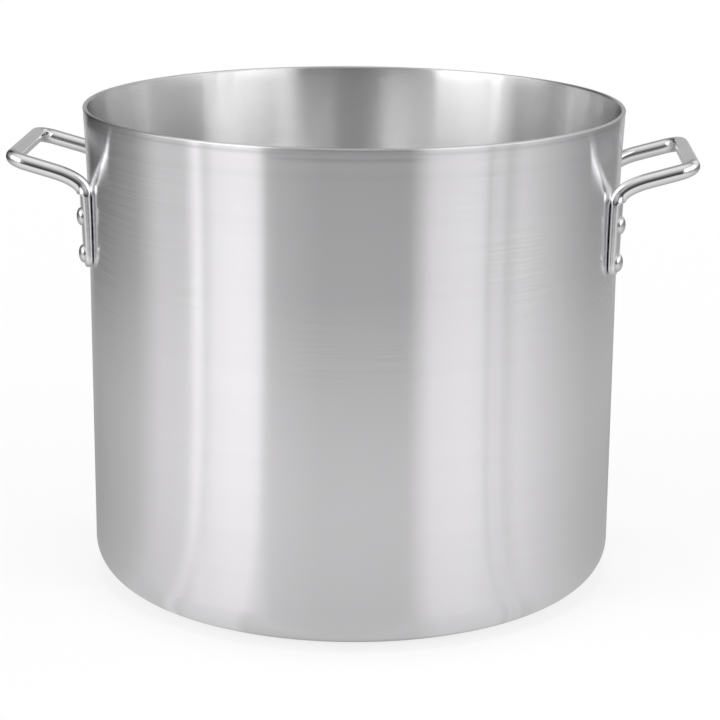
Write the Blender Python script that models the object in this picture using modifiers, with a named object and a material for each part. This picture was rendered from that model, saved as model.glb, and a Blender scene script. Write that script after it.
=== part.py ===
"""Deep-drawn aluminium stock pot with two bent-rod handles, each held by four rivets.

The pot stands on z = 0 with its axis on Z, and its handles reach out along +X and -X.
"""

import math

import bmesh
import bpy
from mathutils import Vector

# Shell, in metres
RIM_RADIUS = 0.195  # outside of the lip
HEIGHT = 0.347  # standing plane to the top of the lip
WALL = 0.0032  # one sheet thickness for wall and bottom
BODY_RADIUS = 0.1922  # outside of the straight wall
FLARE_HEIGHT = 0.100  # the wall opens out over this height below the rim
CORNER_RADIUS = 0.025  # outside radius between wall and bottom
LIP_ROUND = 0.0011  # radius of the lip's inner and outer edge, with a flat ring between them

# Handles: one rod each, round in the grip and pressed flat where it lies on the wall
ROD = 0.0111  # diameter of the round rod
GRIP_REACH = 0.0452  # lip to the centreline of the grip bar
LEG_AZIMUTH = math.radians(16.7)  # of each leg on the wall, to either side of the X axis
LEG_SPLAY = 0.022  # sideways run of a leg per metre outwards, as the two legs close in
LEG_RISE = 0.283  # upward run of a leg per metre outwards
GRIP_CORNER = 0.0120  # centreline radius where a leg turns into the grip bar
BEND_Z = 0.2871  # a leg starts to leave the wall here
BEND_DOWN = 0.0105  # length of the bend below its vertex, on the wall
BEND_OUT = 0.023  # length of the bend beyond its vertex, along the leg
PAD_END_Z = 0.2346  # lowest point of the pressed leg
PAD_WIDTH = 0.0162
PAD_THICKNESS = 0.0063  # at the bend
PAD_TIP_THICKNESS = 0.0050
PAD_SQUARENESS = 4.0  # of its rounded rectangle, where 2 is an ellipse
PRESSED_SHARE = 0.4  # of the bend, over which the pressed section turns back into round rod

# Rivets
RIVET_HEIGHTS = {"upper": 0.2720, "lower": 0.2450}
SHANK_RADIUS = 0.003
HOLE_RADIUS = 0.0033
HOLE_LENGTH = 0.026  # of the drill, more than leg and wall together
HEAD_RADIUS = 0.0065
HEAD_HEIGHT = 0.0039
HEAD_EDGE = 0.0005  # upright edge under the dome
BACK_HEAD_RADIUS = 0.006
BACK_HEAD_HEIGHT = 0.0012
BACK_HEAD_FACE = 0.0045  # radius of its flat face, inside a bevelled edge

GAP = 0.0003  # between pieces that touch
MERGE = 0.00001

SHELL_STEPS = 80
RIVET_STEPS = 16
DOME_STEPS = 5
SECTION_POINTS = 16


def clear_scene():
    for obj in list(bpy.data.objects):
        bpy.data.objects.remove(obj)


def new_collection(name):
    collection = bpy.data.collections.new(name)
    bpy.context.scene.collection.children.link(collection)
    return collection


def new_material(name, colour, roughness):
    material = bpy.data.materials.new(name)
    material.use_nodes = True
    shader = material.node_tree.nodes["Principled BSDF"]
    shader.inputs["Base Color"].default_value = (*colour, 1.0)
    shader.inputs["Metallic"].default_value = 1.0
    shader.inputs["Roughness"].default_value = roughness
    return material


def new_object(name, mesh, collection, material=None):
    obj = bpy.data.objects.new(name, mesh)
    collection.objects.link(obj)
    if material:
        mesh.materials.append(material)
    return obj


def lerp(a, b, share):
    return a + (b - a) * share


def arc(centre_r, centre_z, radius, start, end, segments):
    """Points of a round stretch of a profile, from angle start to angle end in degrees."""
    angles = [math.radians(lerp(start, end, k / segments)) for k in range(segments + 1)]
    return [(centre_r + radius * math.cos(a), centre_z + radius * math.sin(a)) for a in angles]


def wall_radius(z):
    """Outside radius of the pot's wall at height z, above the bottom corner."""
    share = max(0.0, (z - (HEIGHT - FLARE_HEIGHT)) / FLARE_HEIGHT)
    return lerp(BODY_RADIUS, RIM_RADIUS, share**2)


def radial(azimuth):
    return Vector((math.cos(azimuth), math.sin(azimuth), 0.0))


def turned(name, profile, steps, collection, material):
    """A closed turned piece from (radius, z) points that run down its outer side."""
    mesh = bpy.data.meshes.new(name)
    edges = [(k, k + 1) for k in range(len(profile) - 1)]
    mesh.from_pydata([(r, 0.0, z) for r, z in profile], edges, [])
    obj = new_object(name, mesh, collection, material)
    screw = obj.modifiers.new("turn", "SCREW")
    screw.steps = screw.render_steps = steps
    screw.use_merge_vertices = True
    screw.merge_threshold = MERGE
    screw.use_smooth_shade = True
    return obj


def shell_profile():
    """Up the inside of the pot, over the rounded lip and down the outside."""
    lip_z = HEIGHT - LIP_ROUND
    corner_r = BODY_RADIUS - CORNER_RADIUS
    flare = [lerp(HEIGHT - FLARE_HEIGHT, lip_z, k / 4) for k in range(4)]
    profile = [(0.0, WALL)]
    profile += arc(corner_r, CORNER_RADIUS, CORNER_RADIUS - WALL, -90, 0, 6)
    profile += [(wall_radius(z) - WALL, z) for z in flare]
    profile += arc(RIM_RADIUS - WALL + LIP_ROUND, lip_z, LIP_ROUND, 180, 90, 2)
    profile += arc(RIM_RADIUS - LIP_ROUND, lip_z, LIP_ROUND, 90, 0, 2)
    profile += [(wall_radius(z), z) for z in reversed(flare)]
    profile += arc(corner_r, CORNER_RADIUS, CORNER_RADIUS, 0, -90, 6)
    profile.append((0.0, 0.0))
    return profile


def pad_thickness(z):
    """Thickness of the pressed leg, which thins towards its tip."""
    return lerp(PAD_TIP_THICKNESS, PAD_THICKNESS, (z - PAD_END_Z) / (BEND_Z - PAD_END_Z))


def pad_centre(z):
    return radial(LEG_AZIMUTH) * (wall_radius(z) + GAP + pad_thickness(z) / 2) + Vector((0, 0, z))


def pad_stations():
    """Rings of the pressed leg, from its rounded tip up to the bend."""
    tip = PAD_WIDTH / 2
    turns = [math.radians(a) for a in (20, 35, 50, 70, 90)]
    rings = [(PAD_END_Z + tip * (1 - math.cos(a)), PAD_WIDTH * math.sin(a)) for a in turns]
    rings += [(lerp(rings[-1][0], BEND_Z, k / 3), PAD_WIDTH) for k in (1, 2, 3)]
    up = Vector((0, 0, 1))
    return [(pad_centre(z), up, width, pad_thickness(z), PAD_SQUARENESS) for z, width in rings]


def rod_stations():
    """Rings of the bend, the leg, the corner and half of the grip bar, up to y = 0."""
    up = Vector((0, 0, 1))
    across = Vector((0, -1, 0))
    leg = Vector((1.0, -LEG_SPLAY, LEG_RISE)).normalized()
    start = pad_centre(BEND_Z)
    vertex = start + up * BEND_DOWN
    end = vertex + leg * BEND_OUT
    stations = []
    for share in (0.12, 0.24, 0.36, 0.5, 0.65, 0.8, 1.0):
        point = start * (1 - share) ** 2 + vertex * 2 * share * (1 - share) + end * share**2
        tangent = (up * BEND_DOWN * (1 - share) + leg * BEND_OUT * share).normalized()
        pressed = max(0.0, 1 - share / PRESSED_SHARE)
        width = lerp(ROD, PAD_WIDTH, pressed**2)
        thickness = lerp(ROD, PAD_THICKNESS, pressed)
        stations.append((point, tangent, width, thickness, lerp(2.0, PAD_SQUARENESS, pressed)))

    grip_x = RIM_RADIUS + GRIP_REACH
    corner = end + leg * ((grip_x - end.x) / leg.x)
    turn = leg.angle(across)
    into = (across - leg * math.cos(turn)) / math.sin(turn)
    corner_start = corner - leg * GRIP_CORNER * math.tan(turn / 2)
    for k in range(6):
        a = turn * k / 5
        point = corner_start + (leg * math.sin(a) + into * (1 - math.cos(a))) * GRIP_CORNER
        tangent = leg * math.cos(a) + into * math.sin(a)
        stations.append((point, tangent, ROD, ROD, 2.0))
    stations.append((Vector((grip_x, 0.0, corner.z)), across, ROD, ROD, 2.0))
    return stations


def section_point(angle, width, thickness, squareness):
    """A point of a rounded rectangle's outline, which is an ellipse at squareness 2."""
    power = 2 / squareness
    x = math.copysign(abs(math.cos(angle)) ** power, math.cos(angle)) * width / 2
    y = math.copysign(abs(math.sin(angle)) ** power, math.sin(angle)) * thickness / 2
    return x, y


def half_handle_mesh():
    """One leg and half of the grip bar, closed at the tip and open at y = 0."""
    shape = bmesh.new()
    rings = []
    normal = radial(LEG_AZIMUTH)
    before = Vector((0, 0, 1))
    for point, tangent, width, thickness, squareness in pad_stations() + rod_stations():
        normal = before.rotation_difference(tangent) @ normal
        side = normal.cross(tangent)
        ring = []
        for k in range(SECTION_POINTS):
            angle = 2 * math.pi * (k + 0.5) / SECTION_POINTS
            x, y = section_point(angle, width, thickness, squareness)
            ring.append(shape.verts.new(point + side * x + normal * y))
        rings.append(ring)
        before = tangent
    for lower, upper in zip(rings, rings[1:]):
        for k in range(SECTION_POINTS):
            n = (k + 1) % SECTION_POINTS
            shape.faces.new((lower[k], lower[n], upper[n], upper[k]))
    shape.faces.new(reversed(rings[0]))
    for vertex in rings[-1]:
        vertex.co.y = 0.0
    mesh = bpy.data.meshes.new("handle")
    shape.to_mesh(mesh)
    shape.free()
    mesh.shade_smooth()
    return mesh


def make_handle(name, side, mesh, collection):
    """The half-handle mirrored into a whole one. side is 1 for +X and -1 for -X."""
    obj = new_object(name, mesh, collection)
    obj.rotation_euler.z = 0.0 if side > 0 else math.pi
    mirror = obj.modifiers.new("other_leg", "MIRROR")
    mirror.use_axis = (False, True, False)
    mirror.merge_threshold = MERGE
    return obj


def rivet_profile(z):
    """Domed head outside the handle, shank through leg and wall, low flat head inside."""
    taper = (PAD_THICKNESS - PAD_TIP_THICKNESS) / (BEND_Z - PAD_END_Z)
    seat = GAP + pad_thickness(z) + GAP + taper * HEAD_RADIUS
    dome = HEAD_HEIGHT - HEAD_EDGE
    back = -WALL - GAP - BACK_HEAD_RADIUS**2 / (2 * BODY_RADIUS)
    profile = [
        (HEAD_RADIUS * math.sin(a), seat + HEAD_EDGE + dome * math.cos(a))
        for a in [math.radians(90 * k / DOME_STEPS) for k in range(DOME_STEPS + 1)]
    ]
    profile[0] = (0.0, profile[0][1])
    profile += [(HEAD_RADIUS, seat), (SHANK_RADIUS, seat), (SHANK_RADIUS, back)]
    profile += [(BACK_HEAD_RADIUS, back), (BACK_HEAD_RADIUS, back - BACK_HEAD_HEIGHT / 2)]
    profile += [(BACK_HEAD_FACE, back - BACK_HEAD_HEIGHT), (0.0, back - BACK_HEAD_HEIGHT)]
    return profile


def on_wall(obj, azimuth, z):
    """Puts an object's origin on the wall's outer surface, with its +Z pointing outwards."""
    direction = radial(azimuth)
    obj.location = direction * wall_radius(z) + Vector((0, 0, z))
    obj.rotation_euler = direction.to_track_quat("Z", "Y").to_euler()


def rivet_places():
    """(name, azimuth, height) of each rivet. Front is -Y, left is -X."""
    legs = {
        "left_front": math.pi + LEG_AZIMUTH,
        "left_rear": math.pi - LEG_AZIMUTH,
        "right_front": -LEG_AZIMUTH,
        "right_rear": LEG_AZIMUTH,
    }
    return [
        (f"rivet_{leg}_{level}", azimuth, z)
        for leg, azimuth in legs.items()
        for level, z in RIVET_HEIGHTS.items()
    ]


def make_hole_cutter(name, azimuth, z, collection):
    bpy.ops.mesh.primitive_cylinder_add(vertices=RIVET_STEPS, radius=HOLE_RADIUS, depth=HOLE_LENGTH)
    cutter = bpy.context.object
    cutter.name = name
    for other in cutter.users_collection:
        other.objects.unlink(cutter)
    collection.objects.link(cutter)
    cutter.hide_render = True
    cutter.display_type = "WIRE"
    on_wall(cutter, azimuth, z)


def cut_holes(obj, cutters):
    holes = obj.modifiers.new("rivet_holes", "BOOLEAN")
    holes.operation = "DIFFERENCE"
    holes.solver = "EXACT"
    holes.operand_type = "COLLECTION"
    holes.collection = cutters


def build():
    clear_scene()
    pot = new_collection("stock_pot")
    cutters = new_collection("cutters")
    satin = new_material("spun_aluminium", (0.70, 0.70, 0.71), 0.32)

    shell = turned("pot_shell", shell_profile(), SHELL_STEPS, pot, satin)
    mesh = half_handle_mesh()
    left = make_handle("handle_left", -1, mesh, pot)
    right = make_handle("handle_right", 1, mesh.copy(), pot)
    left.data.materials.append(new_material("handle_left_aluminium", (0.78, 0.78, 0.79), 0.12))
    right.data.materials.append(new_material("handle_right_aluminium", (0.78, 0.78, 0.79), 0.12))

    for name, azimuth, z in rivet_places():
        metal = new_material(f"{name}_aluminium", (0.75, 0.75, 0.76), 0.2)
        rivet = turned(name, rivet_profile(z), RIVET_STEPS, pot, metal)
        on_wall(rivet, azimuth, z)
        make_hole_cutter(f"{name}_hole", azimuth, z, cutters)
    for obj in (shell, left, right):
        cut_holes(obj, cutters)


build()
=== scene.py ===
"""Looks of the stock pot: shell, bent-rod handles and domed rivets in satin and polished aluminium."""

import math

import bmesh
import bpy
from mathutils import Matrix, Vector


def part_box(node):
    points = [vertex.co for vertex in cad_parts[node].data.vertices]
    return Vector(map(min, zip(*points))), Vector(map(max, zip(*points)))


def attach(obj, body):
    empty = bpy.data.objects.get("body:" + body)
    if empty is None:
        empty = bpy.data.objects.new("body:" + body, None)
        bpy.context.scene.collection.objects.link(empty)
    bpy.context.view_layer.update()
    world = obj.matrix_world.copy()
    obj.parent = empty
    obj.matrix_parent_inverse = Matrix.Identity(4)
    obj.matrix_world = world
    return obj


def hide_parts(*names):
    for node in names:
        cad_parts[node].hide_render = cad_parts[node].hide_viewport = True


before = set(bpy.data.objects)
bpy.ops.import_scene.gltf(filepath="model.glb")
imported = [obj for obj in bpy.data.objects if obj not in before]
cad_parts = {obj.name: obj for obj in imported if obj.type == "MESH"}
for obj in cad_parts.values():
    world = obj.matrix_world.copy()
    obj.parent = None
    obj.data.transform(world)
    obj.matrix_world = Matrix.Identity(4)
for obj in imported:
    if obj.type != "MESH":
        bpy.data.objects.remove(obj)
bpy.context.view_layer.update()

SHELL_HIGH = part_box("pot_shell")[1]
HANDLE_LOW, HANDLE_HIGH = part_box("handle_right")

# Shell, in metres
RIM_RADIUS = SHELL_HIGH.x
HEIGHT = SHELL_HIGH.z
WALL = 0.0032
BODY_RADIUS = RIM_RADIUS - 0.0028
FLARE_HEIGHT = 0.100
CORNER_RADIUS = 0.025
LIP_ROUND = 0.00145  # radius of the lip's two edges
GROOVE_DEPTH = 0.00018  # of the shallow groove under the lip, where a line of painted shade runs
GROOVE_WIDTH = 0.0022
GROOVE_DROP = 0.0042  # top of the lip to the middle of that line
RING_DROP = 0.019  # top of the lip to a faint spinning mark round the wall
RING_WIDTH = 0.0035

# Handles
ROD = 0.0111
GRIP_X = HANDLE_HIGH.x - ROD / 2  # of the grip bar's axis
LEG_AZIMUTH = math.radians(16.7)  # of a leg on the wall, off the X axis
LEG_CLOSING = 0.022  # how far a leg comes in towards the other, beside how far it reaches out
LEG_RISE = 0.283  # and how far it rises
GRIP_CORNER = 0.0120  # radius of the rod's axis between leg and grip bar
BEND_Z = 0.2871  # where the pressed part ends and the bend starts
BEND_UP = 0.0105  # from there up to the corner that the bend rounds off
BEND_OUT = 0.023  # from that corner out along the leg to the end of the bend
PAD_END_Z = HANDLE_LOW.z
PAD_WIDTH = 0.0162
PAD_THICKNESS = 0.0066  # with the gap that the CAD leaves to the wall
PAD_TIP_THICKNESS = 0.0053
TIP_THINNING = 0.55  # thickness at the very tip, beside the pad's
THICKENING_SHARE = 0.14  # of the bend, over which the pressed leg gets its full thickness back
NARROWING_SHARE = 0.40  # of the bend, over which it gets as narrow as the rod again
SEAM = 0.00004  # between leg and wall

# Rivets
HEAD_RADIUS = 0.0065
HEAD_HEIGHT = 0.0039
HEAD_RIM = 0.0006  # the upright edge under the dome
HEAD_UNDERCUT = 0.985  # radius where a head meets the metal, beside its full radius
BACK_HEAD_RADIUS = 0.006
BACK_HEAD_HEIGHT = 0.0013
BACK_HEAD_ROUND = 0.6 * BACK_HEAD_HEIGHT
SHANK_RADIUS = 0.003
BACK_HEAD_FLAT_RING = 0.4  # radius of a ring that divides the inner head's flat, beside its radius
SEATING = 0.0002  # how far a head is pressed into the metal under it

# Fineness: steps round an axis, and rings along a stretch
SHELL_STEPS = 288
FLOOR_RINGS = 12
INNER_RINGS = 40
OUTER_RINGS = 110
INNER_CORNER_RINGS = 14
OUTER_CORNER_RINGS = 16
EDGE_RINGS = 6
RIVET_STEPS = 48
DOME_RINGS = 18
SECTION_POINTS = 48
TIP_RINGS = 12
PAD_RINGS = 16
BEND_RINGS = 40
BEND_CROWDING = 1.5  # above 1, the rings of the bend crowd towards the pad
LEG_RINGS = 6
CORNER_RINGS = 20
BAR_RINGS = 10
MERGE_DISTANCE = 0.00001  # for the two halves of a handle


def lerp(a, b, share):
    return a + (b - a) * share


def smooth(share):
    """Runs from 0 to 1 with level ends."""
    share = min(1.0, max(0.0, share))
    return share * share * (3 - 2 * share)


def radial(azimuth):
    return Vector((math.cos(azimuth), math.sin(azimuth), 0.0))


def wall_radius(z):
    """Outside radius of the wall at height z, above the bottom corner."""
    share = max(0.0, (z - (HEIGHT - FLARE_HEIGHT)) / FLARE_HEIGHT)
    return lerp(BODY_RADIUS, RIM_RADIUS, share**2)


def arc(centre_r, centre_z, radius, start, end, segments):
    """Points of a round stretch of a profile, from angle start to angle end in degrees."""
    angles = [math.radians(lerp(start, end, k / segments)) for k in range(segments + 1)]
    return [(centre_r + radius * math.cos(a), centre_z + radius * math.sin(a)) for a in angles]


# Meshes


def piece(name, shape, material, slot, *nodes):
    """A finished mesh that rides on the pot and stands for CAD nodes."""
    bmesh.ops.recalc_face_normals(shape, faces=shape.faces)
    mesh = bpy.data.meshes.new(name)
    shape.to_mesh(mesh)
    shape.free()
    mesh.materials.append(material)
    mesh.shade_smooth()
    obj = bpy.data.objects.new(name, mesh)
    bpy.context.scene.collection.objects.link(obj)
    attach(obj, "root")
    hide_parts(*nodes)


def bridge(shape, lower, upper):
    """Quads between two rings that run the same way round."""
    count = len(lower)
    for k in range(count):
        n = (k + 1) % count
        shape.faces.new((lower[k], lower[n], upper[n], upper[k]))


def turned(profile, steps):
    """A closed turned shape from (radius, z) points that start and end on the axis, upper end first."""
    shape = bmesh.new()
    ways = [radial(2 * math.pi * k / steps) for k in range(steps)]
    rings = [[shape.verts.new(way * r + Vector((0, 0, z))) for way in ways] for r, z in profile[1:-1]]
    first = shape.verts.new((0, 0, profile[0][1]))
    last = shape.verts.new((0, 0, profile[-1][1]))
    for k in range(steps):
        n = (k + 1) % steps
        shape.faces.new((first, rings[0][k], rings[0][n]))
        shape.faces.new((last, rings[-1][n], rings[-1][k]))
    for upper, lower in zip(rings, rings[1:]):
        bridge(shape, lower, upper)
    return shape


def groove(z):
    """Depth of the shallow groove under the lip."""
    away = abs(z - (HEIGHT - GROOVE_DROP)) / GROOVE_WIDTH
    return GROOVE_DEPTH * (1 - smooth(away))


def shell_profile():
    corner_r = BODY_RADIUS - CORNER_RADIUS
    lip_z = HEIGHT - LIP_ROUND
    floor_radii = [corner_r * k / FLOOR_RINGS for k in range(FLOOR_RINGS)]
    inner = [lerp(CORNER_RADIUS, lip_z, k / INNER_RINGS) for k in range(1, INNER_RINGS)]
    outer = [lerp(lip_z, CORNER_RADIUS, k / OUTER_RINGS) for k in range(1, OUTER_RINGS)]
    profile = [(r, WALL) for r in floor_radii]
    profile += arc(corner_r, CORNER_RADIUS, CORNER_RADIUS - WALL, -90, 0, INNER_CORNER_RINGS)
    profile += [(wall_radius(z) - WALL, z) for z in inner]
    profile += arc(RIM_RADIUS - WALL + LIP_ROUND, lip_z, LIP_ROUND, 180, 90, EDGE_RINGS)
    profile += arc(RIM_RADIUS - LIP_ROUND, lip_z, LIP_ROUND, 90, 0, EDGE_RINGS)
    profile += [(wall_radius(z) - groove(z), z) for z in outer]
    profile += arc(corner_r, CORNER_RADIUS, CORNER_RADIUS, 0, -90, OUTER_CORNER_RINGS)
    profile += [(r, 0.0) for r in reversed(floor_radii)]
    return profile


def pad_thickness(z):
    return lerp(PAD_TIP_THICKNESS, PAD_THICKNESS, (z - PAD_END_Z) / (BEND_Z - PAD_END_Z))


def pad_centre(z):
    return radial(LEG_AZIMUTH) * (wall_radius(z) + SEAM + pad_thickness(z) / 2) + Vector((0, 0, z))


def pad_stations():
    """Rings of the pressed leg, from its rounded tip up to the bend."""
    up = Vector((0, 0, 1))
    stations = []
    for k in range(1, TIP_RINGS + 1):
        a = math.radians(90 * k / TIP_RINGS)
        z = PAD_END_Z + PAD_WIDTH / 2 * (1 - math.cos(a))
        thickness = pad_thickness(z) * lerp(TIP_THINNING, 1.0, math.sin(a))
        stations.append((pad_centre(z), up, max(PAD_WIDTH * math.sin(a), thickness), thickness))
    straight = [lerp(PAD_END_Z + PAD_WIDTH / 2, BEND_Z, k / PAD_RINGS) for k in range(1, PAD_RINGS + 1)]
    return stations + [(pad_centre(z), up, PAD_WIDTH, pad_thickness(z)) for z in straight]


def rod_stations():
    """Rings of the bend, the leg, the corner and half of the grip bar, up to y = 0."""
    up = Vector((0, 0, 1))
    across = Vector((0, -1, 0))
    leg = Vector((1.0, -LEG_CLOSING, LEG_RISE)).normalized()
    start = pad_centre(BEND_Z)
    vertex = start + up * BEND_UP
    end = vertex + leg * BEND_OUT
    stations = []
    for k in range(1, BEND_RINGS + 1):
        share = (k / BEND_RINGS) ** BEND_CROWDING
        point = start * (1 - share) ** 2 + vertex * 2 * share * (1 - share) + end * share**2
        tangent = (up * BEND_UP * (1 - share) + leg * BEND_OUT * share).normalized()
        thickness = lerp(PAD_THICKNESS, ROD, smooth(share / THICKENING_SHARE))
        width = lerp(PAD_WIDTH, ROD, smooth(share / NARROWING_SHARE))
        stations.append((point, tangent, width, thickness))

    corner = end + leg * ((GRIP_X - end.x) / leg.x)
    turn = leg.angle(across)
    into = (across - leg * math.cos(turn)) / math.sin(turn)
    corner_start = corner - leg * GRIP_CORNER * math.tan(turn / 2)
    stations += [(end.lerp(corner_start, k / LEG_RINGS), leg, ROD, ROD) for k in range(1, LEG_RINGS)]
    for k in range(CORNER_RINGS + 1):
        a = turn * k / CORNER_RINGS
        point = corner_start + (leg * math.sin(a) + into * (1 - math.cos(a))) * GRIP_CORNER
        tangent = leg * math.cos(a) + into * math.sin(a)
        stations.append((point, tangent, ROD, ROD))
    bar_start = stations[-1][0]
    middle = Vector((GRIP_X, 0.0, corner.z))
    bar = [bar_start.lerp(middle, k / BAR_RINGS) for k in range(1, BAR_RINGS + 1)]
    return stations + [(point, across, ROD, ROD) for point in bar]


def section_point(angle, width, thickness):
    """A point of the outline of a pressed rod: two round ends with a flat between them, or a circle."""
    end = thickness / 2
    x = math.copysign((width - thickness) / 2, math.cos(angle)) + end * math.cos(angle)
    return x, end * math.sin(angle)


def handle_shape(side):
    """The whole bent rod, lofted through its rings. side is 1 for +X and -1 for -X."""
    shape = bmesh.new()
    rings = []
    normal = radial(LEG_AZIMUTH)
    before = Vector((0, 0, 1))
    for point, tangent, width, thickness in pad_stations() + rod_stations():
        normal = before.rotation_difference(tangent) @ normal  # carried along without twisting
        across = normal.cross(tangent)
        ring = []
        for k in range(SECTION_POINTS):
            x, y = section_point(2 * math.pi * (k + 0.5) / SECTION_POINTS, width, thickness)
            ring.append(shape.verts.new(point + across * x + normal * y))
        rings.append(ring)
        before = tangent
    for lower, upper in zip(rings, rings[1:]):
        bridge(shape, lower, upper)
    tip = shape.verts.new(sum((v.co for v in rings[0]), Vector()) / SECTION_POINTS)
    for k in range(SECTION_POINTS):
        shape.faces.new((tip, rings[0][(k + 1) % SECTION_POINTS], rings[0][k]))
    for vertex in rings[-1]:
        vertex.co.y = 0.0
    half = shape.verts[:] + shape.edges[:] + shape.faces[:]
    bmesh.ops.mirror(shape, geom=half, axis="Y", merge_dist=MERGE_DISTANCE)
    if side < 0:
        half_turn = Matrix.Rotation(math.pi, 3, "Z")
        bmesh.ops.rotate(shape, cent=(0, 0, 0), matrix=half_turn, verts=shape.verts)
    return shape


def rivet_profile(z):
    """Domed head, shank and low inner head, with z = 0 at the wall's outer surface."""
    seat = SEAM + pad_thickness(z) - SEATING
    dome_z = seat + HEAD_RIM
    dome = HEAD_HEIGHT - HEAD_RIM
    back = -WALL + SEATING
    end = back - BACK_HEAD_HEIGHT
    round_r = BACK_HEAD_RADIUS - BACK_HEAD_ROUND
    angles = [math.radians(90 * k / DOME_RINGS) for k in range(DOME_RINGS)]
    profile = [(HEAD_RADIUS * math.sin(a), dome_z + dome * math.cos(a)) for a in angles]
    profile += [(HEAD_RADIUS, dome_z), (HEAD_RADIUS, seat + HEAD_RIM / 2)]
    profile += [(HEAD_RADIUS * HEAD_UNDERCUT, seat), (SHANK_RADIUS, seat)]
    profile += [(SHANK_RADIUS, back), (BACK_HEAD_RADIUS * HEAD_UNDERCUT, back)]
    profile += arc(round_r, end + BACK_HEAD_ROUND, BACK_HEAD_ROUND, 0, -90, EDGE_RINGS)
    profile += [(BACK_HEAD_RADIUS * BACK_HEAD_FLAT_RING, end), (0.0, end)]
    return profile


def rivet_shape(azimuth, z):
    shape = turned(rivet_profile(z), RIVET_STEPS)
    turn = radial(azimuth).to_track_quat("Z", "Y").to_matrix()
    bmesh.ops.rotate(shape, cent=(0, 0, 0), matrix=turn, verts=shape.verts)
    place = radial(azimuth) * wall_radius(z) + Vector((0, 0, z))
    bmesh.ops.translate(shape, vec=place, verts=shape.verts)
    return shape


# Materials


class Nodes:
    """Short helpers around the node tree of one material or world."""

    def __init__(self, owner, shader):
        owner.use_nodes = True
        self.owner = owner
        self.tree = owner.node_tree
        self.shader = self.tree.nodes[shader]

    def add(self, kind, inputs=None, **settings):
        node = self.tree.nodes.new(kind)
        for key, value in settings.items():
            setattr(node, key, value)
        for key, value in (inputs or {}).items():
            self.put(node.inputs[key], value)
        return node

    def put(self, socket, value):
        if isinstance(value, bpy.types.NodeSocket):
            self.tree.links.new(value, socket)
        else:
            socket.default_value = value

    def math(self, operation, a, b=0.0):
        node = self.add("ShaderNodeMath", operation=operation)
        self.put(node.inputs[0], a)
        self.put(node.inputs[1], b)
        return node.outputs[0]

    def distance(self, xyz):
        """Distance from the vertical axis."""
        x_squared = self.math("MULTIPLY", xyz[0], xyz[0])
        y_squared = self.math("MULTIPLY", xyz[1], xyz[1])
        return self.math("SQRT", self.math("ADD", x_squared, y_squared))

    def noise(self, vector, scale, detail=2.0, roughness=0.5):
        inputs = {"Vector": vector, "Scale": scale, "Detail": detail, "Roughness": roughness}
        return self.add("ShaderNodeTexNoise", inputs).outputs["Fac"]

    def combine(self, x, y, z):
        return self.add("ShaderNodeCombineXYZ", {"X": x, "Y": y, "Z": z}).outputs[0]

    def stretch(self, vector, factors):
        node = self.add("ShaderNodeVectorMath", {0: vector, 1: factors}, operation="MULTIPLY")
        return node.outputs[0]

    def remap(self, value, low, high, to_low=0.0, to_high=1.0):
        """Maps low to to_low and high to to_high, and holds the ends."""
        inputs = {"Value": value, "From Min": low, "From Max": high, "To Min": to_low, "To Max": to_high}
        return self.add("ShaderNodeMapRange", inputs, clamp=True).outputs[0]

    def line_at(self, value, place, full, gone):
        """1 within full of the place, falling to 0 at gone."""
        away = self.math("ABSOLUTE", self.math("SUBTRACT", value, place))
        return self.remap(away, full, gone, 1.0, 0.0)

    def mix_colour(self, share, a, b):
        node = self.add("ShaderNodeMix", data_type="RGBA")
        self.put(node.inputs[0], share)
        self.put(node.inputs[6], a)
        self.put(node.inputs[7], b)
        return node.outputs[2]

    def bump(self, height, distance, normal=None):
        inputs = {"Height": height, "Distance": distance, "Strength": 1.0}
        if normal:
            inputs["Normal"] = normal
        return self.add("ShaderNodeBump", inputs).outputs["Normal"]


def material_nodes(name):
    return Nodes(bpy.data.materials.new(name), "Principled BSDF")


# Colours of the metals
SATIN_TONES = (0.880, 0.864, 0.882, 1), (0.890, 0.874, 0.892, 1)
DARK_MARK = (0.78, 0.78, 0.79, 1)
PALE_MARK = (0.95, 0.95, 0.95, 1)
# painted light: a paler tone inside that brightens the inside
INSIDE_PAINTED_LIGHT_TONE = (0.980, 0.982, 0.982, 1)
# painted shade: the dark line under the lip
UNDER_LIP_SHADE_TONE = (0.5, 0.5, 0.51, 1)
# painted shade: a darker tone that dims the lip's highlight
LIP_SHADE_TONE = (0.70, 0.70, 0.71, 1)
ROD_TONE = (0.86, 0.86, 0.87)
RIVET_TONE = (0.82, 0.82, 0.83)
DULL_SHADE = 0.93  # of the duller patches on rods and rivets, beside their tone

# Noises
MIDDLE = (0.3, 0.7)  # the stretch of a noise that holds nearly all of its values
FINE_GRAIN = (9.0, 700.0)  # scale round the axis and scale across the brushing
SOFT_RINGS = (1.2, 95.0)
STROKES = (14.0, 620.0)
PATCH_SCALE = 9.0
FLUTE_SCALE = 42.0
FLUTE_STRETCH = (1.0, 1.0, 0.04)
WAVE_SCALE = 90.0
DULL_PATCH_SCALE = 45.0
HAIRLINE_STRETCH = (1.0, 6.0, 1.0)
ROD_SCRATCHES = 900.0
RIVET_SCRATCHES = 1400.0

# Marks on the shell, with painted light paler inside and painted shade on and under the lip. A share is
# how much of a mark's tone shows.
DARK_STROKES = (0.52, 0.62)  # of the strokes' noise, from no mark to the full mark
PALE_STROKES = (0.48, 0.38)
STROKE_PATCHES = (0.45, 0.6)  # of the patches' noise, the same
STROKES_FROM = (HEIGHT - 0.17, HEIGHT - 0.09)  # heights where the strokes start and are full
DARK_STROKE_SHARE = 0.45
PALE_STROKE_SHARE = 0.5
RING_SHARE = 0.18
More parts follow.
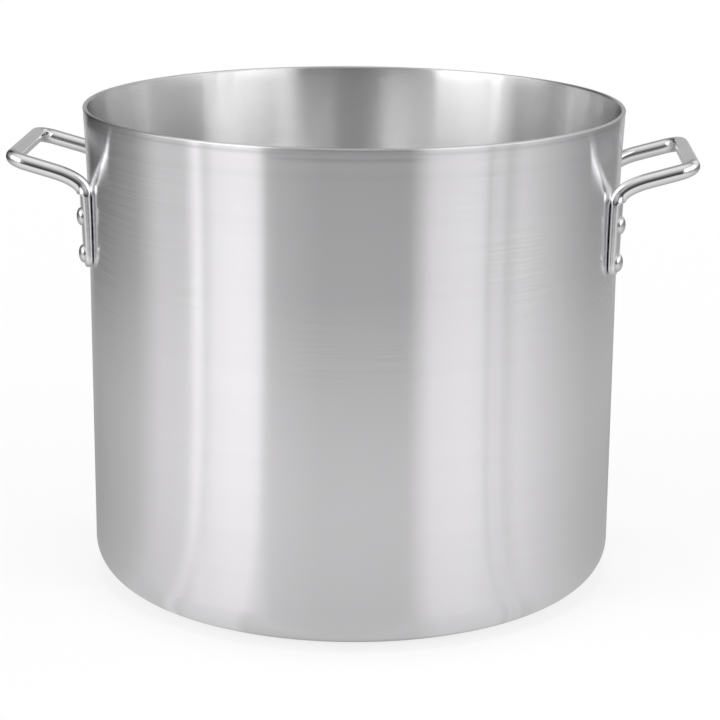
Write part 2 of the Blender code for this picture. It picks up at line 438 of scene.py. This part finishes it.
# painted light: how much of the paler inside tone shows
INSIDE_PAINTED_LIGHT_SHARE = 0.8
UNDER_LIP_SHADE_WIDTHS = (0.0004, 0.0018)  # from the painted shade line's middle to where it is full and where it ends
UNDER_LIP_SHADE_SHARE = 0.28
LIP_TOP = (HEIGHT - 0.0018, HEIGHT - 0.0010)  # where the wall's tone turns into the lip's darker tone of painted shade
FLUTE_DEPTH = 0.00005  # of the soft upright waves in the wall

# Roughness of the shell, and what each mark adds
SATIN_ROUGHNESS = (0.192, 0.200)
PATCH_SPREAD = 0.006
RING_SPREAD = 0.003
DARK_STROKE_ADDS = 0.02
LIP_ADDS = 0.15

# Polished metals
ROD_ROUGHNESS = 0.06
RIVET_ROUGHNESS = 0.22
POLISH_SPREAD = 0.04  # added by the dullest patches, and once more by the hairlines
DULL_PATCHES = (0.35, 0.7)
HAIRLINES = (0.5, 0.75)
WAVE_DEPTH = 0.00008
HAIRLINE_DEPTH = 0.000004


def spun_aluminium():
    """Satin aluminium brushed round the axis, with spinning marks and faint flutes, a paler tone inside
    that is painted light, and a darker lip with a dark line under it that are painted shade.
    """
    n = material_nodes("spun_aluminium")
    place = n.add("ShaderNodeTexCoord").outputs["Object"]
    xyz = n.add("ShaderNodeSeparateXYZ", {"Vector": place}).outputs
    along = n.math("ADD", n.distance(xyz), xyz[2])  # grows up the wall and out over the bottom

    def lines(around, pitch):
        """Coordinates stretched round the axis: slow around it, quick across the brushing."""
        x = n.math("MULTIPLY", xyz[0], around)
        y = n.math("MULTIPLY", xyz[1], around)
        return n.combine(x, y, n.math("MULTIPLY", along, pitch))

    fine = n.noise(lines(*FINE_GRAIN), 1.0, 2.0, 0.6)
    rings = n.noise(lines(*SOFT_RINGS), 1.0, 1.0)
    strokes = n.noise(lines(*STROKES), 1.0, 1.0)
    patches = n.noise(place, PATCH_SCALE)
    flutes = n.noise(n.stretch(place, FLUTE_STRETCH), FLUTE_SCALE)

    groups = n.math("MULTIPLY", n.remap(patches, *STROKE_PATCHES), n.remap(xyz[2], *STROKES_FROM))
    dark_stroke = n.math("MULTIPLY", n.remap(strokes, *DARK_STROKES), groups)
    pale_stroke = n.math("MULTIPLY", n.remap(strokes, *PALE_STROKES), groups)
    ring_line = n.line_at(xyz[2], HEIGHT - RING_DROP, RING_WIDTH / 2, RING_WIDTH)
    # painted shade: a dark line under the lip, on the outside only
    under_lip_shade = n.line_at(xyz[2], HEIGHT - GROOVE_DROP, *UNDER_LIP_SHADE_WIDTHS)
    # the lip: painted shade in its darker tone, and rougher
    lip = n.remap(xyz[2], *LIP_TOP)
    facing = n.add("ShaderNodeNewGeometry").outputs["Normal"]
    outward = n.add("ShaderNodeVectorMath", {0: facing, 1: place}, operation="DOT_PRODUCT")
    inside = n.math("LESS_THAN", outward.outputs["Value"], 0.0)
    outside = n.math("SUBTRACT", 1.0, inside)

    tone = n.mix_colour(n.remap(rings, *MIDDLE), *SATIN_TONES)
    # random tones and marks, then painted light inside and painted shade under and on the lip
    for mark, share, colour in (
        (dark_stroke, DARK_STROKE_SHARE, DARK_MARK),
        (pale_stroke, PALE_STROKE_SHARE, PALE_MARK),
        (ring_line, RING_SHARE, DARK_MARK),
        (inside, INSIDE_PAINTED_LIGHT_SHARE, INSIDE_PAINTED_LIGHT_TONE),
        (n.math("MULTIPLY", under_lip_shade, outside), UNDER_LIP_SHADE_SHARE, UNDER_LIP_SHADE_TONE),
        (lip, 1.0, LIP_SHADE_TONE),
    ):
        tone = n.mix_colour(n.math("MULTIPLY", mark, share), tone, colour)
    n.put(n.shader.inputs["Base Color"], tone)

    rough = n.remap(fine, *MIDDLE, *SATIN_ROUGHNESS)
    for part in (
        n.remap(patches, *MIDDLE, -PATCH_SPREAD, PATCH_SPREAD),
        n.remap(rings, *MIDDLE, -RING_SPREAD, RING_SPREAD),
        n.math("MULTIPLY", dark_stroke, DARK_STROKE_ADDS),
        n.math("MULTIPLY", lip, LIP_ADDS),
    ):
        rough = n.math("ADD", rough, part)
    n.put(n.shader.inputs["Roughness"], rough)

    n.put(n.shader.inputs["Normal"], n.bump(flutes, FLUTE_DEPTH))
    tangent = n.add("ShaderNodeTangent", direction_type="RADIAL", axis="Z").outputs[0]
    n.put(n.shader.inputs["Tangent"], tangent)
    n.shader.inputs["Metallic"].default_value = 1.0
    n.shader.inputs["Anisotropic"].default_value = 1.0
    n.shader.inputs["Anisotropic Rotation"].default_value = 0.25
    return n.owner


def polished_aluminium(name, tone, scratch_scale, roughness):
    """Tumble-polished aluminium: soft waviness, hairline scratches and duller patches."""
    n = material_nodes(name)
    place = n.add("ShaderNodeTexCoord").outputs["Object"]
    waves = n.noise(place, WAVE_SCALE)
    hairlines = n.noise(n.stretch(place, HAIRLINE_STRETCH), scratch_scale, 3.0, 0.7)
    patches = n.noise(place, DULL_PATCH_SCALE, 3.0, 0.6)
    dark = tuple(c * DULL_SHADE for c in tone)
    tones = n.mix_colour(n.remap(patches, *DULL_PATCHES), (*tone, 1), (*dark, 1))
    n.put(n.shader.inputs["Base Color"], tones)
    dull = n.remap(patches, *MIDDLE, roughness, roughness + POLISH_SPREAD)
    scratched = n.remap(hairlines, *HAIRLINES, 0.0, POLISH_SPREAD)
    n.put(n.shader.inputs["Roughness"], n.math("ADD", dull, scratched))
    normal = n.bump(waves, WAVE_DEPTH)
    n.put(n.shader.inputs["Normal"], n.bump(hairlines, HAIRLINE_DEPTH, normal=normal))
    n.shader.inputs["Metallic"].default_value = 1.0
    return n.owner


def make_pot():
    spun = spun_aluminium()
    rod_metal = polished_aluminium("polished_rod", ROD_TONE, ROD_SCRATCHES, ROD_ROUGHNESS)
    rivet_metal = polished_aluminium("polished_rivet", RIVET_TONE, RIVET_SCRATCHES, RIVET_ROUGHNESS)
    piece("shell", turned(shell_profile(), SHELL_STEPS), spun, "pot_shell", "pot_shell")
    for side, word in ((-1, "left"), (1, "right")):
        piece(f"{word}_handle", handle_shape(side), rod_metal, "handle", f"handle_{word}")
    for node in sorted(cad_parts):
        if node.startswith("rivet_"):
            low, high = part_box(node)
            centre = (low + high) / 2
            azimuth = math.copysign(LEG_AZIMUTH, centre.y)
            if centre.x < 0:
                azimuth = math.pi - azimuth
            piece(f"fine_{node}", rivet_shape(azimuth, centre.z), rivet_metal, "rivet", node)


# Studio

CAMERA_DISTANCE = 1.6167  # from the pot's axis, along the floor
CAMERA_HEIGHT = 0.5937
CAMERA_LENS = 112.53  # in millimetres, as SENSOR_WIDTH
SENSOR_WIDTH = 36.0
CAMERA_REACH = 100.0
CAMERA_TURN = math.radians(2.8)  # of the camera round the pot, towards its right handle
CAMERA_PITCH = math.radians(15.196)
CAMERA_YAW = math.radians(0.195)
CAMERA_ROLL = math.radians(0.435)

# Floor and backdrop, which the camera sees
FLOOR_Z = -0.0002
FLOOR_GREY = 0.16
FLOOR_GLOW = 0.79  # keeps the pot's shadow faint
FLOOR_ROUGHNESS = 0.9
FLOOR_SPECULAR = 0.1
FLOOR_LIGHT = 1.2  # strength of the sun lamp over the floor
FLOOR_LIGHT_ANGLE = math.radians(12)
BACKDROP_LEVEL = 0.97
BACKDROP_RADIUS = 24.0

# Table top, which only the metal mirrors: a glowing card with painted light from the panels, painted
# shade beside the pot and a painted shadow under it
TABLE_RADIUS = 1.90
TABLE_FADE = 0.85  # radius where the table starts to thin out towards its edge
TABLE_COVER = 0.92
TABLE_LEVEL = 0.77
TABLE_SHADING = 0.4  # how much of the studio's light round the pot is painted into the table's glow
NEAR_PAINTED_SHADE = 0.76  # painted shade: brightness of the table beside the pot, beside further out
NEAR_RADIUS = 0.60  # where the table reaches its full brightness
CONTACT_PAINTED_SHADOW = 0.20  # painted shadow: the table's brightness under the pot
CONTACT_EDGE = 0.014  # how far inside the rim's radius that painted shadow ends
MIRROR_SHARE = 0.52  # azimuth of the wall where it mirrors a place on the table, beside that place's own
BACK_SHARE = 0.5  # brightness of the table and room floor behind the pot, beside in front of it

# Panels, ceiling, room floor and back wall. Heights here are sines of the elevation.
PANEL_HEIGHTS = (0.05, 0.25)  # where the panels start and end to brighten upwards
PANEL_LEVELS = (0.95, 4.1)
PANEL_END = (0.65, 0.80)  # where the panels start and end to fade out
CEILING_HEIGHTS = (0.25, 1.0)
CEILING_LEVEL = 0.95
ROOM_FLOOR_HEIGHTS = (-0.12, -0.05)
ROOM_FLOOR_LEVEL = 0.06
DARK_LEVEL = 0.02  # added to everything above the room floor
BACK_WALL_LEVEL = 0.50
BACK_WALL_SIDES = (0.85, 0.93)  # cosine of the angle off straight back where it starts and is full
BACK_WALL_TOP = (0.26, 0.34)  # where it starts and ends to darken
BACK_WALL_ABOVE = 0.75  # its brightness above that, beside its full level

# The panels round the pot. Each stop is an azimuth in degrees, 0 on the camera's side and growing
# towards +X, and how bright the panels are there. The brightness runs straight between stops.
LEFT_REAR = ((-180, 0.0), (-160, 0.04), (-145, 0.0), (-120, 0.08), (-102, 0.16))
LEFT_PANEL = ((-87, 0.47), (-77, 0.42), (-57.5, 0.72), (-45, 0.74), (-37, 0.68))
LEFT_STRIP = ((-70.5, 0.43), (-65.5, 1.0), (-62, 0.42))
FRONT_GAP = ((-33.5, 0.15), (-10, 0.03), (26.5, 0.03))
RIGHT_PANEL = ((36, 0.47), (51, 0.57), (59.5, 0.58), (77, 0.51), (91, 0.39))
RIGHT_RIBS = ((61.5, 0.12), (63.5, 0.66), (65, 0.34), (67, 0.62), (69.5, 0.28))
RIGHT_REAR = ((111, 0.25), (126, 0.19), (152, 0.22), (168, 0.0), (180, 0.0))
PANELS = LEFT_REAR + LEFT_PANEL + LEFT_STRIP + FRONT_GAP + RIGHT_PANEL + RIGHT_RIBS + RIGHT_REAR
STUDIO_LIGHT = sorted(PANELS)


def make_camera():
    data = bpy.data.cameras.new("camera")
    data.lens = CAMERA_LENS
    data.sensor_width = SENSOR_WIDTH
    data.clip_end = CAMERA_REACH
    camera = bpy.data.objects.new("camera", data)
    bpy.context.scene.collection.objects.link(camera)
    level = Matrix.Rotation(math.pi / 2, 4, "X")
    aim = Matrix.Rotation(-CAMERA_YAW, 4, "Z") @ level @ Matrix.Rotation(-CAMERA_PITCH, 4, "X")
    aim = aim @ Matrix.Rotation(CAMERA_ROLL, 4, "Z")
    stand = Matrix.Translation((0, -CAMERA_DISTANCE, CAMERA_HEIGHT))
    camera.matrix_world = Matrix.Rotation(CAMERA_TURN, 4, "Z") @ stand @ aim
    bpy.context.scene.camera = camera


def disc(name, radius, z):
    """A flat round piece of the stage, face up."""
    shape = bmesh.new()
    bmesh.ops.create_circle(shape, cap_ends=True, segments=96, radius=radius)
    bmesh.ops.translate(shape, vec=(0, 0, z), verts=shape.verts)
    return stage_piece(name, shape)


def stage_piece(name, shape):
    mesh = bpy.data.meshes.new(name)
    shape.to_mesh(mesh)
    shape.free()
    obj = bpy.data.objects.new(name, mesh)
    bpy.context.scene.collection.objects.link(obj)
    return obj


def glowing(name, level):
    """A plain emitter of one level of grey."""
    n = material_nodes(name)
    n.shader.inputs["Base Color"].default_value = (0, 0, 0, 1)
    n.shader.inputs["Specular IOR Level"].default_value = 0.0
    n.shader.inputs["Emission Color"].default_value = (level, level, level, 1)
    n.shader.inputs["Emission Strength"].default_value = 1.0
    return n.owner


def light_round_studio(n, place, near=False):
    """How bright the panels are in the direction of a place or vector, by its azimuth alone.

    near is for places close to the pot. The wall mirrors them together with panels that stand
    further round, and the azimuth is turned to that of those panels.
    """
    xyz = n.add("ShaderNodeSeparateXYZ", {"Vector": place}).outputs
    azimuth = n.math("ARCTAN2", xyz[0], n.math("MULTIPLY", xyz[1], -1.0))
    if near:
        wall_azimuth = n.math("MULTIPLY", azimuth, MIRROR_SHARE)
        aside = n.math("MULTIPLY", n.math("SINE", wall_azimuth), RIM_RADIUS)
        turn = n.math("DIVIDE", aside, n.distance(xyz))
        azimuth = n.math("ADD", azimuth, turn)
    ramp = n.add("ShaderNodeValToRGB", {"Fac": n.remap(azimuth, -math.pi, math.pi)})
    ramp.color_ramp.interpolation = "LINEAR"
    stops = ramp.color_ramp.elements
    while len(stops) < len(STUDIO_LIGHT):
        stops.new(0.5)
    for stop, (degrees, level) in zip(stops, STUDIO_LIGHT):
        stop.position = (degrees + 180) / 360
        stop.color = (level, level, level, 1)
    return ramp.outputs["Color"], xyz


def make_floor():
    """The pale floor that the camera sees, and the glowing table top with painted light and shadow that
    the metal mirrors.
    """
    floor = disc("floor", BACKDROP_RADIUS + 0.5, FLOOR_Z)
    n = material_nodes("pale_floor")
    n.shader.inputs["Base Color"].default_value = (FLOOR_GREY, FLOOR_GREY, FLOOR_GREY, 1)
    n.shader.inputs["Roughness"].default_value = FLOOR_ROUGHNESS
    n.shader.inputs["Specular IOR Level"].default_value = FLOOR_SPECULAR
    n.shader.inputs["Emission Color"].default_value = (1, 1, 1, 1)
    n.shader.inputs["Emission Strength"].default_value = FLOOR_GLOW
    floor.data.materials.append(n.owner)
    floor.visible_glossy = False
    table = disc("table_top", TABLE_RADIUS, FLOOR_Z)
    table.data.materials.append(painted_light_table())
    table.visible_camera = False
    table.visible_diffuse = False
    table.visible_shadow = False


def painted_light_table():
    """A glowing white table top with the panels' light painted into it, painted shade beside the pot and
    a painted shadow under it, which thins out towards its edge.
    """
    n = Nodes(glowing("painted_light_table", TABLE_LEVEL), "Principled BSDF")
    light, xyz = light_round_studio(n, n.add("ShaderNodeTexCoord").outputs["Object"], near=True)
    away = n.distance(xyz)
    front = n.remap(n.math("DIVIDE", xyz[1], away), -1.0, 1.0, 1.0, BACK_SHARE)
    # painted shadow under the pot
    shade = n.remap(away, RIM_RADIUS - CORNER_RADIUS, RIM_RADIUS - CONTACT_EDGE, CONTACT_PAINTED_SHADOW, 1.0)
    # painted shade beside the pot
    near = n.remap(away, RIM_RADIUS, NEAR_RADIUS, NEAR_PAINTED_SHADE, 1.0)
    # painted light from the panels round the pot, darker behind, times the painted shade beside it
    painted_glow = n.math("MULTIPLY", n.math("ADD", n.math("MULTIPLY", light, TABLE_SHADING), front), near)
    n.put(n.shader.inputs["Emission Strength"], n.math("MULTIPLY", painted_glow, shade))
    n.put(n.shader.inputs["Alpha"], n.remap(away, TABLE_FADE, TABLE_RADIUS, TABLE_COVER, 0.0))
    return n.owner


def make_backdrop():
    """A plain pale dome behind everything, which only the camera sees."""
    shape = bmesh.new()
    bmesh.ops.create_uvsphere(shape, u_segments=48, v_segments=24, radius=BACKDROP_RADIUS)
    dome = stage_piece("backdrop", shape)
    dome.data.materials.append(glowing("pale_backdrop", BACKDROP_LEVEL))
    dome.visible_diffuse = False
    dome.visible_glossy = False
    dome.visible_shadow = False


def make_world():
    """Studio light from all round: soft panels, a bright ceiling, a back wall and a dim gap in front."""
    n = Nodes(bpy.data.worlds.new("studio"), "Background")
    bpy.context.scene.world = n.owner
    light, xyz = light_round_studio(n, n.add("ShaderNodeTexCoord").outputs["Generated"])
    tall = n.remap(xyz[2], *PANEL_END, 1.0, 0.0)
    strong = n.remap(xyz[2], *PANEL_HEIGHTS, *PANEL_LEVELS)
    panels = n.math("MULTIPLY", light, n.math("MULTIPLY", tall, strong))
    behind = n.math("MAXIMUM", xyz[1], 0.0)  # the ceiling starts higher behind the pot
    overhead = n.math("SUBTRACT", xyz[2], n.math("MULTIPLY", behind, behind))
    ceiling = n.remap(overhead, *CEILING_HEIGHTS, 0.0, CEILING_LEVEL)
    room_floor = n.remap(xyz[2], *ROOM_FLOOR_HEIGHTS, ROOM_FLOOR_LEVEL, DARK_LEVEL)
    back = n.math("DIVIDE", xyz[1], n.distance(xyz))
    back_wall = n.remap(back, *BACK_WALL_SIDES, 0.0, BACK_WALL_LEVEL)
    low = n.remap(n.math("ABSOLUTE", xyz[2]), *BACK_WALL_TOP, 1.0, BACK_WALL_ABOVE)
    back_wall = n.math("MULTIPLY", back_wall, low)
    front = n.remap(back, -1.0, 1.0, 1.0, BACK_SHARE)
    level = n.math("ADD", n.math("MAXIMUM", panels, ceiling), n.math("MULTIPLY", room_floor, front))
    level = n.math("MAXIMUM", level, back_wall)
    n.put(n.shader.inputs["Color"], n.combine(level, level, level))


def make_floor_light():
    """Lifts the floor to near white. The metal doesn't mirror it."""
    data = bpy.data.lights.new("floor_light", "SUN")
    data.angle = FLOOR_LIGHT_ANGLE
    data.energy = FLOOR_LIGHT
    light = bpy.data.objects.new("floor_light", data)
    light.visible_glossy = False
    bpy.context.scene.collection.objects.link(light)


def make_studio():
    make_camera()
    make_floor()
    make_backdrop()
    make_world()
    make_floor_light()
    bpy.context.scene.view_settings.view_transform = "Standard"


make_studio()
make_pot()
